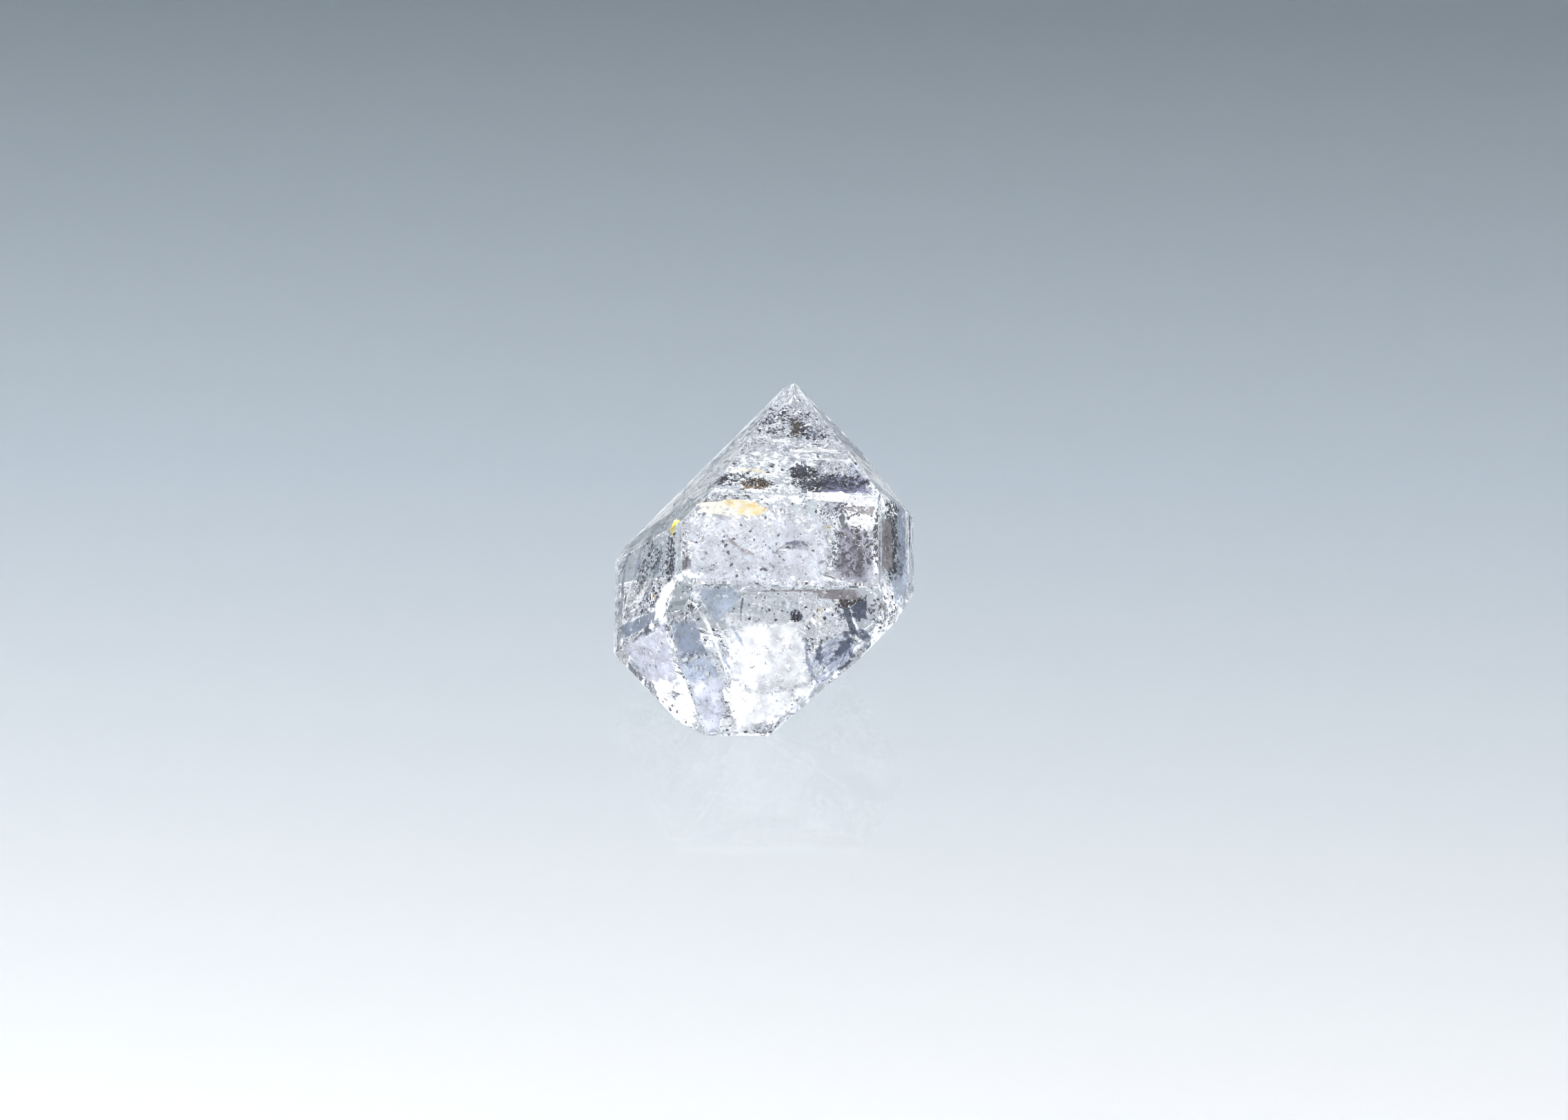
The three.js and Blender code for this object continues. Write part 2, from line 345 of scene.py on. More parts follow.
def lattice_noise(x, y, seed):
    """Random heights from -1 to 1 on a lattice one unit apart, joined by smooth steps between them."""
    table = np.random.default_rng(seed).uniform(-1, 1, (64, 64))
    i, j = np.floor(x).astype(int), np.floor(y).astype(int)
    f, g = x - i, y - j
    f, g = f * f * (3 - 2 * f), g * g * (3 - 2 * g)
    i, j, next_i, next_j = i % 64, j % 64, (i + 1) % 64, (j + 1) % 64
    low = table[i, j] * (1 - f) + table[next_i, j] * f
    high = table[i, next_j] * (1 - f) + table[next_i, next_j] * f
    return low * (1 - g) + high * g


def hillocks(across, up, seed, count, size, step):
    """Growth hillocks: low shields with flat steps. Each is a cone over a five-sided outline,
    size - max(outline normals . offset), and the tallest at a point, cut to steps, is its height."""
    scatter = np.random.default_rng(seed)
    x = scatter.uniform(across.min(), across.max(), count)
    y = scatter.uniform(up.min(), up.max(), count)
    sizes = size * scatter.uniform(0.4, 1.0, count)
    sides = np.radians((148, 32, 0, 180, 270))
    height = np.zeros_like(across)
    for cx, cy, r in zip(x, y, sizes):
        off = np.maximum.reduce([(across - cx) * math.cos(s) + (up - cy) * math.sin(s) for s in sides])
        height = np.maximum(height, r * (1 - off / r))
    return np.floor(height / step) * step


def growth(across, up, kind, seed):
    """How far a face stands out from its plane, in mm, at places measured across and up it. An end
    face has stepped hillocks and an etched grain. A prism face has fine bands across it."""

    def noise(wide, high, k):
        """A lattice noise whose cells are this wide and high, in mm."""
        return lattice_noise(across / wide, up / high, seed + k)

    etched = noise(0.34, 0.34, 3) + 0.5 * noise(0.2, 0.2, 4)
    if kind == "prism":
        bands = noise(2.5, 0.16, 0) + 0.7 * noise(1.1, 0.32, 1)
        height = 0.014 * bands * (0.5 + 0.5 * noise(1.6, 1.6, 2)) + 0.008 * etched
    else:
        steps = hillocks(across, up, seed, count=40, size=1.1, step=0.16)
        height = 0.03 * steps + 0.02 * etched * (0.6 + 0.4 * noise(1.4, 1.4, 5))
    return height - height.max()


def grid_faces(rows, columns, ring=False):
    """The quads of a grid of points kept row by row: each joins a point, the one after it in the next
    row, and the neighbours of both. A ring's last column joins its first."""
    i, j = np.meshgrid(np.arange(rows - 1), np.arange(columns - (not ring)), indexing="ij")
    after = (j + 1) % columns
    corners = (i * columns + j, (i + 1) * columns + j, (i + 1) * columns + after, i * columns + after)
    return np.stack(corners, -1).reshape(-1, 4).tolist()


def face_patch(corners, normal, cell, kind, strength, seed):
    """A face as a fan of even cells: middle + t (rim - middle), for each point of the rim and t from 0
    to 1, raised along the face's normal by its growth, which fades at the rim."""
    sides = list(zip(corners, np.roll(corners, -1, 0)))
    counts = [math.ceil(np.linalg.norm(b - a) / cell - 1e-4) for a, b in sides]
    rim = np.concatenate([a + (b - a) * (np.arange(n) / n)[:, None] for (a, b), n in zip(sides, counts)])
    middle = corners.mean(0)
    width = min(np.linalg.norm(np.cross(b - a, middle - a)) / np.linalg.norm(b - a) for a, b in sides)
    if width < 2 * cell:
        return rim, [list(range(len(rim)))]
    rings = math.ceil(np.linalg.norm(rim - middle, axis=1).mean() / cell)
    t = np.linspace(0, 1, rings + 1)[:, None]
    grid = middle + t[..., None] * (rim - middle)
    sideways = np.array([-normal[1], normal[0], 0]) / math.hypot(*normal[:2])
    upward = np.cross(normal, sideways)
    flat_rim = 0.2
    fade = np.clip((1 - t) * width / flat_rim, 0, 1)
    rise = growth((grid - middle) @ sideways, (grid - middle) @ upward, kind, seed)
    grid = grid + strength * (rise * fade * fade * (3 - 2 * fade))[..., None] * normal
    return grid.reshape(-1, 3), grid_faces(rings + 1, len(rim), ring=True)


def new_piece(name, points, faces):
    """A piece in the part's place, from points in the crystal's axes, in mm, and the faces on them."""
    mesh = bpy.data.meshes.new(name)
    mesh.from_pydata(to_part(points).tolist(), [], faces)
    piece = bpy.data.objects.new(name, mesh)
    scene.collection.objects.link(piece)
    return piece


def closed_piece(name, patches):
    """Joins patches of points and faces into one piece, and merges the points where they meet."""
    starts = np.cumsum([0] + [len(points) for points, _ in patches])
    faces = [[i + start for i in face] for (_, own), start in zip(patches, starts) for face in own]
    piece = new_piece(name, np.concatenate([points for points, _ in patches]), faces)
    work = bmesh.new()
    work.from_mesh(piece.data)
    bmesh.ops.remove_doubles(work, verts=work.verts, dist=5e-7)
    work.to_mesh(piece.data)
    work.free()
    return piece


full_relief, front_relief = 1.0, 0.12
cut_normals, cut_distances = chamfered(normals, distances, edge_cut_mm)
points = meeting_points(cut_normals, cut_distances)
patches = []
for face, (normal, distance) in enumerate(zip(cut_normals, cut_distances)):
    loop = outline(points, normal, distance)
    backward = np.diff(to_part(np.stack([normal * 0, normal]))[:, 1])[0] * 1000
    relief = front_relief if backward < 0.1 else full_relief
    if len(loop):
        kind = "prism" if face < 6 else "end"
        patches.append(face_patch(points[loop], normal, cell_mm, kind, relief, face))
quartz = closed_piece("quartz", patches)

# The plate: a thin crystal that grew on the right rear prism face, in line with this one. It has the
# same faces, but that one lies further out and five round it further in. Its root is in the crystal.
plate_on, rooted_mm = 2, 0.4
others = np.arange(18) != plate_on
moved, moved_out_mm = [2, 1, 8, 7, 14, 3], (0.36, -0.42, -0.35, -0.3, -0.3, -0.5)
root = rooted_mm - distances[[plate_on]]
plate_normals, plate_distances = chamfered(
    np.concatenate([normals[:18][others], normals[moved], -normals[[plate_on]]]),
    np.concatenate([distances[:18][others], distances[moved] + moved_out_mm, root]),
    edge_cut_mm,
)
points = meeting_points(plate_normals, plate_distances)
loops = [outline(points, *plane).tolist() for plane in zip(plate_normals, plate_distances)]
plate = closed_piece("plate", [(points, [loop for loop in loops if loop])])
join = quartz.modifiers.new("plate", "BOOLEAN")
join.operation, join.solver, join.object = "UNION", "MANIFOLD", plate
joined = quartz.evaluated_get(bpy.context.evaluated_depsgraph_get())
quartz.data = mesh = bpy.data.meshes.new_from_object(joined)
quartz.modifiers.clear()
bpy.data.objects.remove(plate)
mesh.shade_smooth()
mesh.set_sharp_from_angle(angle=math.radians(9))


def to_crystal(points):
    """Back from the part, in metres, to the crystal's own axes, in mm."""
    c, s = math.cos(end_face_polar), math.sin(end_face_polar)
    x, y, z = (points * 1000 - seat_mm).T
    return np.stack([x, y * c - z * s, y * s + z * c], -1)


# The wear, with a painted highlight: a frosted bruise, shaped as part of a ring round one spot of the
# lower front on the left, its white partly a painted highlight of the top light on that rounded corner,
# and narrow rubbed bands along the edges, where a point is near two faces.
bruise_x, bruise_z, bruise_wide, bruise_high = -3.4, -4.2, 1.38, 1.08
rubbed_mm = 0.035
corners = np.empty(len(mesh.vertices) * 3)
mesh.vertices.foreach_get("co", corners)
places = to_crystal(corners.reshape(-1, 3))
x, y, z = places.T
ring = np.hypot((x - bruise_x) / bruise_wide, (z - bruise_z) / bruise_high)
blotch = 0.5 + 0.5 * lattice_noise(x * 4 + 40, z * 4 + 40, 90)
fading = np.clip((-2.6 - x) / 1.6, 0, 1) * np.clip((z + 5.2) / 0.8, 0, 1) * (y < -3.5)
# the bruise's ring: frosting whose white is partly a painted highlight of the top light
bruise_and_highlight = np.clip(1.2 - abs(ring - 1.02) / 0.26, 0, 1) * fading * (0.6 + 0.5 * blotch)
second_nearest = np.sort(abs(distances[:18] - places @ normals[:18].T), axis=1)[:, 1]
patchy = 0.5 + 0.5 * lattice_noise(x * 4 + 40, z * 4 + y * 3 + 80, 91)
rubbed = np.clip(1 - second_nearest / rubbed_mm, 0, 1) * patchy
wear = mesh.attributes.new("wear", "FLOAT", "POINT")
wear.data.foreach_set("value", np.maximum(bruise_and_highlight, 0.8 * rubbed))

clear_quartz = bpy.data.materials.new("clear quartz")
start = empty_tree(clear_quartz)
place = start.node("ShaderNodeTexCoord", out=3)
face = start.node(
    "ShaderNodeBsdfPrincipled",
    inputs={"Base Color": (1, 1, 1, 1), "Roughness": 0.0, "IOR": 1.544, "Transmission Weight": 1.0},
)
chipped = start.node("ShaderNodeTexNoise", {}, {"Vector": place, "Scale": 3500.0, "Detail": 3.0})
rough = start.node("ShaderNodeBump", inputs={"Strength": 0.6, "Distance": 0.00005, "Height": chipped})
# the frosted white: real frosting on the rubbed bands, and on the bruise partly a painted highlight
frost_and_highlight = start.node(
    "ShaderNodeBsdfPrincipled",
    inputs={"Base Color": (0.95, 0.96, 0.98, 1), "Roughness": 0.45, "Normal": rough},
)
amount = start.node("ShaderNodeAttribute", {"attribute_name": "wear"}, out=2)
flaked = start.node("ShaderNodeClamp", inputs={0: amount * 1.4 + (chipped - 0.5) * 2.2 - 0.3})
cover = flaked * start.node("ShaderNodeClamp", inputs={0: amount * 4.0}) * 0.85
inside = start.node("ShaderNodeVolumeAbsorption", inputs={"Color": (0.9, 0.95, 1.0, 1), "Density": 8.0})
skin = start.node("ShaderNodeMixShader", inputs={0: cover, 1: face, 2: frost_and_highlight})
start.node("ShaderNodeOutputMaterial", inputs={"Surface": skin, "Volume": inside})
mesh.materials.clear()
mesh.materials.append(clear_quartz)

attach(quartz, "root")
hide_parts("quartz_crystal")


# The healed fractures: cracks that closed again as the crystal grew, each left as a curved sheet of
# tiny flat bubbles sealed in the quartz. They glint like silver and make the crystal look white. The
# milky ones also glow in their own pale colour, a painted light.
def veil(middle, across, up, bow, ripple, count, seed):
    """Places and normals on a curved sheet: middle + u across + v up + h n, where n is the sheet's
    normal, u and v run from -1 to 1, and h = bow (u^2 + v^2) + ripple times a lattice noise of u, v.
    The places are clustered: they stay where a second noise is above a random level."""
    scatter = np.random.default_rng(seed)
    u, v = scatter.uniform(-1, 1, (2, count))
    middle, across, up = map(np.array, (middle, across, up))
    normal = np.cross(across, up)
    normal = normal / np.linalg.norm(normal)

    def height(u, v):
        return bow * (u * u + v * v) + ripple * lattice_noise(u * 3 + 9, v * 3 + 9, seed)

    step = 0.01
    h = height(u, v)
    slope_u = (height(u + step, v) - h) / step
    slope_v = (height(u, v + step) - h) / step
    tilted = normal - slope_u[:, None] * across / (across @ across) - slope_v[:, None] * up / (up @ up)
    places = middle + u[:, None] * across + v[:, None] * up + h[:, None] * normal
    clusters = lattice_noise(u * 4 + 20, v * 4 + 20, seed + 1)
    clusters = clusters + 0.6 * lattice_noise(u * 11 + 20, v * 11 + 20, seed + 2)
    keep = (clusters > scatter.uniform(-1.2, 0.7, count)) & (u * u + v * v < 1)
    return places[keep], tilted[keep] / np.linalg.norm(tilted[keep], axis=1, keepdims=True)


def sealed_in(places, clearance):
    """Which places, in the crystal's axes in mm, lie at least the clearance behind every face."""
    return (distances - places @ normals.T > clearance).all(1)


def mixed_radii(scatter, count, typical, smallest, largest):
    """Radii in mm: the typical one times e to the power of a normal scatter, kept between two ends."""
    return scatter.lognormal(math.log(typical), 0.45, count).clip(smallest, largest)


def flecks(name, places, axes, radii, thickness, sides, tilt, seed):
    """Small closed flakes: a rim of a few points on an uneven circle about each place, radius times
    (1 + noise), square to its axis, and a tip above and below the middle at thickness times radius."""
    scatter = np.random.default_rng(seed)
    count = len(places)
    axes = axes + tilt * scatter.normal(size=(count, 3))
    axes /= np.linalg.norm(axes, axis=1, keepdims=True)
    first = np.cross(axes, scatter.normal(size=(count, 3)))
    first /= np.linalg.norm(first, axis=1, keepdims=True)
    second = np.cross(axes, first)
    turn = np.linspace(0, 2 * math.pi, sides, endpoint=False)[None, :, None]
    reach = (radii[:, None] * scatter.uniform(0.55, 1.35, (count, sides)))[..., None]
    rim = places[:, None] + reach * (np.cos(turn) * first[:, None] + np.sin(turn) * second[:, None])
    both_sides = np.array([1.0, -1.0])[None, :, None] * axes[:, None]
    tips = places[:, None] + (radii * thickness)[:, None, None] * both_sides
    points = np.concatenate([rim, tips], 1)
    here, there = np.arange(sides), (np.arange(sides) + 1) % sides
    top = np.stack([here, there, np.full(sides, sides)], -1)
    under = np.stack([there, here, np.full(sides, sides + 1)], -1)
    faces = np.concatenate([top, under])[None] + (np.arange(count) * (sides + 2))[:, None, None]
    return new_piece(name, points.reshape(-1, 3), faces.reshape(-1, 3).tolist())


# each sheet: middle, across and up in the crystal's axes in mm, bow, ripple, count and seed
silver_veils = [
    ((-1.5, -1.0, 0.5), (4.5, 0.5, 0.6), (0.3, 1.2, 6.0), 0.4, 0.5, 2500, 301),
    ((1.5, 0.5, -1.0), (3.6, 1.8, -0.5), (-0.3, 2.4, 5.0), -0.5, 0.6, 2500, 302),
    ((0.5, 1.5, 3.5), (4.2, -1.2, 0.3), (0.4, 2.6, 2.8), 0.3, 0.5, 2000, 303),
    ((-0.8, -4.4, -1.4), (2.9, 0.3, 0.1), (0.1, 0.5, 1.9), 0.3, 0.4, 2600, 305),
    ((1.0, -2.2, 3.6), (2.4, 0.2, 0.0), (0, 1.0, 0.9), 0.2, 0.3, 1200, 306),
    ((-0.1, -2.6, -6.0), (1.9, 0.1, 0), (0, 0.3, 2.4), 0.2, 0.3, 4500, 307),
]
milky_veils = [
    ((-0.1, -2.7, -6.5), (2.0, 0.1, 0), (0, -1.5, 2.0), 0.15, 0.2, 5400, 321),
    ((-1.6, -4.9, -0.5), (2.0, 0.1, 0), (0, 0.1, 0.9), 0.1, 0.1, 650, 322),
    ((1.6, -3.2, 3.6), (1.3, 0.1, 0), (0, 0.05, 0.1), 0.1, 0.1, 500, 323),
    ((2.7, -5.3, 0.6), (1.3, 0.1, 0), (0, 0.05, 0.12), 0.1, 0.1, 500, 324),
    ((3.6, -5.3, -0.5), (0.6, 0.1, 0), (0, 0.05, 0.12), 0.1, 0.1, 60, 325),
]
for name, sheets, metal, roughness, painted_glow, typical_mm, seed in (
    ("silver_fractures", silver_veils, 0.9, 0.28, 0.0, 0.075, 310),
    ("milky_fractures_painted_glow", milky_veils, 0.5, 0.42, 0.4, 0.05, 312),
):
    places, axes = map(np.concatenate, zip(*(veil(*values) for values in sheets)))
    kept = sealed_in(places, clearance=0.25)
    places, axes = places[kept], axes[kept]
    scatter = np.random.default_rng(seed)
    radii = mixed_radii(scatter, len(places), typical_mm, smallest=0.03, largest=0.2)
    bubbles = flecks(name, places, axes, radii, thickness=0.16, sides=6, tilt=0.25, seed=seed + 1)
    finish = bpy.data.materials.new(name.replace("_", " "))
    start = empty_tree(finish)
    # the Emission Strength is a painted light: none for the silver flecks, and 0.4 for the milky ones, which
    # glow in their own colour
    face = start.node(
        "ShaderNodeBsdfPrincipled",
        inputs={
            "Base Color": (0.95, 0.96, 0.98, 1),
            "Roughness": roughness,
            "Metallic": metal,
            "Emission Color": (0.95, 0.96, 1.0, 1),
            "Emission Strength": painted_glow,
        },
    )
    start.node("ShaderNodeOutputMaterial", inputs={"Surface": face})
    bubbles.data.materials.append(finish)
    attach(bubbles, "root")
    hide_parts("quartz_crystal")


# The curved crack: a shell-shaped break under the lower right face, ringed like a chip in thick glass.
# Air in it mirrors the light, so its rings show as dark and bright arcs.
def walled(piece):
    """Gives a thin sheet its wall, a hundredth of a millimetre, which also closes it."""
    wall = piece.modifiers.new("wall", "SOLIDIFY")
    wall.thickness = 0.00001
    return piece


def shell(name, middle, across, up, bow, ripple, rings):
    """A shallow bowl on rings of radius r and turns a: middle + r cos a across + r sin a up + h n,
    where h = bow r^2 + ripple sin(2 pi rings r), and r is drawn in along an uneven outline."""
    rows, columns = 70, 120
    turns = np.linspace(0, 2 * math.pi, columns, endpoint=False)
    r, a = np.meshgrid(np.linspace(0.02, 1, rows), turns, indexing="ij")
    middle, across, up = map(np.array, (middle, across, up))
    normal = np.cross(across, up)
    normal = normal / np.linalg.norm(normal)
    r = r * (0.85 + 0.15 * lattice_noise(np.cos(a) * 2 + 9, np.sin(a) * 2 + 9, 61))
    h = bow * r * r + ripple * np.sin(2 * math.pi * rings * r * (1 + 0.08 * np.cos(a)))
    u, v = r * np.cos(a), r * np.sin(a)
    h = h + 0.02 * lattice_noise(u * 7 + 20, v * 7 + 20, 62)
    points = middle + u[..., None] * across + v[..., None] * up + h[..., None] * normal
    # the hub closes the small hole in the middle
    hub = list(range(columns - 1, -1, -1))
    piece = new_piece(name, points.reshape(-1, 3), grid_faces(rows, columns, ring=True) + [hub])
    piece.data.shade_smooth()
    return walled(piece)


crack = shell(
    "curved_crack",
    middle=(2.5, -3.2, -5.75),
    across=(1.05, -0.72, 0.92),
    up=(0.5, 0.36, -0.45),
    bow=0.3,
    ripple=0.05,
    rings=3.2,
)
crack_face = bpy.data.materials.new("crack face")
start = empty_tree(crack_face)
place = start.node("ShaderNodeTexCoord", out=3)
patches = start.node("ShaderNodeTexNoise", {}, {"Vector": place, "Scale": 1800.0})
face = start.node(
    "ShaderNodeBsdfPrincipled",
    inputs={
        "Base Color": (0.72, 0.75, 0.84, 1),
        "Roughness": 0.08,
        "Metallic": 1.0,
        "Alpha": start.node("ShaderNodeClamp", inputs={0: (patches - 0.34) * 8.0}) * 0.95,
    },
)
start.node("ShaderNodeOutputMaterial", inputs={"Surface": face})
crack.data.materials.append(crack_face)
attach(crack, "root")
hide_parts("quartz_crystal")


# The inner cracks: smooth breaks close behind the front faces. They mirror a little of what is round
# them, and the rest is painted: each has a tone in its colour and its glow. The grey, slate, lilac,
# mauve, plum, violet, white, snow, mist and dark tones are painted reflections of the light and shade
# round them, and the brown and cream ones are stains. They show as plain grey, lilac or white patches
# among the bubbles, and every tone glows a little, a painted light. The narrow ones show as dark or
# pale lines.
def pane(corners, seed):
    """Places on a four-cornered sheet, for u and v from 0 to 1: the corners weighted by (1-u)(1-v),
    u(1-v), uv and (1-u)v, after u and v are both shifted by a noise, which frays the rim. Its cover
    falls from 1 to 0 at the rim."""
    along = np.linspace(-0.05, 1.05, 36)
    u, v = np.meshgrid(along, along, indexing="ij")
    cover = np.clip((0.55 - np.maximum(abs(u - 0.5), abs(v - 0.5))) / 0.1, 0, 1)
    shift_u, shift_v = (0.05 * lattice_noise(u * 6 + 9, v * 6 + 9, seed + k) for k in range(2))
    u, v = u + shift_u, v + shift_v
    return np.stack([(1 - u) * (1 - v), u * (1 - v), u * v, (1 - u) * v], -1) @ np.array(corners), cover


def strip(path, half_width, facing, seed):
    """Places on a pointed strip, for t and s from -1 to 1: the curve through the path's points at t,
    plus s times half_width sqrt(1 - t^2) (1 + noise) to its side, square to the way it faces."""
    t, s = np.meshgrid(np.linspace(-0.99, 0.99, 48), np.linspace(-1, 1, 7), indexing="ij")
    curves = np.polyfit(np.linspace(-1, 1, len(path)), np.array(path), len(path) - 1).T
    middle = np.stack([np.polyval(curve, t) for curve in curves], -1)
    side = np.cross(facing, np.stack([np.polyval(np.polyder(curve), t) for curve in curves], -1))
    side /= np.linalg.norm(side, axis=-1, keepdims=True)
    wavy = 1 + 0.5 * lattice_noise(t * 7 + 20, s * 0 + seed % 9, seed)
    return middle + (s * half_width * np.sqrt(1 - t * t) * wavy)[..., None] * side, 1 - s * s


dark, slate, umber, grey = (0.1, 0.12, 0.18), (0.34, 0.39, 0.49), (0.3, 0.27, 0.28), (0.5, 0.56, 0.66)
lilac, mauve, plum = (0.76, 0.78, 0.88), (0.66, 0.68, 0.78), (0.35, 0.34, 0.43)
white, snow, mist = (1.0, 1.0, 1.0), (0.96, 0.96, 0.98), (0.72, 0.75, 0.83)
violet, brown, cream = (0.28, 0.28, 0.44), (0.3, 0.17, 0.08), (1.0, 0.93, 0.74)
# how deep each tone's cracks lie, in mm, and how much they cover, where it differs from the rest
usual_depth, depths = 0.2, {mist: 0.34, snow: 0.3, plum: 0.75, violet: 0.5}
usual_cover, covers = 1, {mist: 0.42, snow: 0.8, plum: 0.8, violet: 0.7, dark: 1.6}
least_depth = 0.1
m0, m1, m5, u0, l0, l5 = (normals[face] for face in (0, 1, 5, 6, 12, 17))
